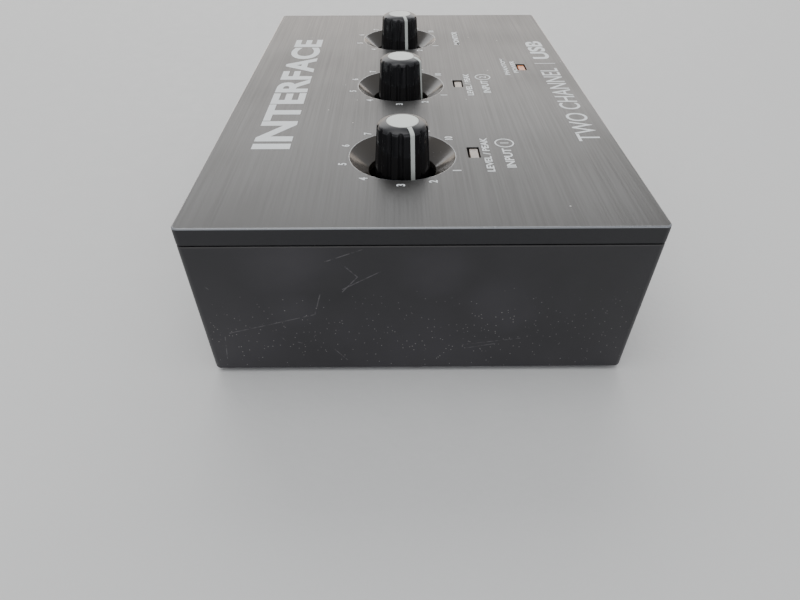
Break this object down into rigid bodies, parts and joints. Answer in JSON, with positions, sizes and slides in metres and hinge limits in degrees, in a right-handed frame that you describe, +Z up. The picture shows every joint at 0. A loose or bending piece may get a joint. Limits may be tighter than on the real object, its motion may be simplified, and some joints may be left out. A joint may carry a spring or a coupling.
{
  "type": "audio interface",
  "caption": "Desktop USB audio interface: drafted plastic box with dished dials and signal lights on top, sockets and switches front and rear.",
  "frame": {"origin": "desk level under the middle of the whole footprint, sockets and button included", "axes": "+X to the user's right along the row of dials, +Y from the user to the rear sockets, +Z up"},
  "size_m": [0.172, 0.121, 0.0553],
  "materials": {
    "case_plastic": "satin, fine texture",
    "socket_plastic": "satin",
    "knob_plastic": "gloss",
    "marker_white": "satin",
    "foot_rubber": "matt",
    "screw_steel": "black zinc",
    "board_laminate": "satin solder mask",
    "chip_epoxy": "matt",
    "can_aluminium": "satin",
    "shaft_aluminium": "turned",
    "pot_steel": "satin",
    "plug_plastic": "satin",
    "ribbon_pvc": "satin",
    "signal_lens": "frosted",
    "phantom_lens": "frosted",
    "tinned_wire": "tinned",
    "contact_nickel": "plated",
    "usb_steel": "plated",
    "usb_plastic": "satin",
    "output_red": "satin",
    "output_white": "satin",
    "button_plastic": "satin"
  },
  "bodies": {
    "enclosure": {"top_cover": "case_plastic", "base_shell": "case_plastic", "rubber_feet": "foot_rubber", "cover_screws": "screw_steel", "main_board": "board_laminate", "control_board": "board_laminate", "main_board_screws": "screw_steel", "control_board_screws": "screw_steel", "circuit_chips": "chip_epoxy", "capacitors": "can_aluminium", "board_link_plugs": "plug_plastic", "board_link_ribbon": "ribbon_pvc", "signal_led_lenses": "signal_lens", "phantom_led_lens": "phantom_lens", "led_leads": "tinned_wire", "combo_socket_housing": "socket_plastic", "xlr_contacts": "contact_nickel", "instrument_jack_housing": "socket_plastic", "instrument_jack_ferrule": "contact_nickel", "headphone_jack": "socket_plastic", "phantom_switch_body": "socket_plastic", "usb_socket_shell": "usb_steel", "usb_socket_insert": "usb_plastic", "output_socket_housing": "socket_plastic", "line_switch_frame": "usb_steel", "monitor_switch_frame": "usb_steel", "right_output_barrel": "contact_nickel", "left_output_barrel": "contact_nickel", "right_output_insulator": "output_red", "left_output_insulator": "output_white", "input_1_pot_housing": "pot_steel", "input_2_pot_housing": "pot_steel", "monitor_pot_housing": "pot_steel"},
    "phantom_push": {"phantom_button": "button_plastic"},
    "line_slider": {"line_switch_slider": "button_plastic"},
    "monitor_slider": {"monitor_switch_slider": "button_plastic"},
    "input_1_dial": {"input_1_knob": "knob_plastic", "input_1_knob_marker": "marker_white", "input_1_pot_shaft": "shaft_aluminium"},
    "input_2_dial": {"input_2_knob": "knob_plastic", "input_2_knob_marker": "marker_white", "input_2_pot_shaft": "shaft_aluminium"},
    "monitor_dial": {"monitor_knob": "knob_plastic", "monitor_knob_marker": "marker_white", "monitor_pot_shaft": "shaft_aluminium"}
  },
  "joints": [
    {"name": "input_1_turn", "type": "hinge", "parent": "enclosure", "child": "input_1_dial", "pos_m": [-0.0508, 0.00094, 0.05], "axis": [0, 0, -1], "range_deg": [-38.5, 261.5]},
    {"name": "input_2_turn", "type": "hinge", "parent": "enclosure", "child": "input_2_dial", "pos_m": [0, 0.00094, 0.05], "axis": [0, 0, -1], "range_deg": [0, 300]},
    {"name": "monitor_turn", "type": "hinge", "parent": "enclosure", "child": "monitor_dial", "pos_m": [0.0508, 0.00094, 0.05], "axis": [0, 0, -1], "range_deg": [-38.5, 261.5]},
    {"name": "line_slide", "type": "slide", "parent": "enclosure", "child": "line_slider", "axis": [1, 0, 0], "range_m": [0, 0.003]},
    {"name": "monitor_slide", "type": "slide", "parent": "enclosure", "child": "monitor_slider", "axis": [1, 0, 0], "range_m": [0, 0.003]},
    {"name": "phantom_press", "type": "slide", "parent": "enclosure", "child": "phantom_push", "axis": [0, 1, 0], "range_m": [0, 0.0025], "stiffness_N_per_m": 600}
  ]
}
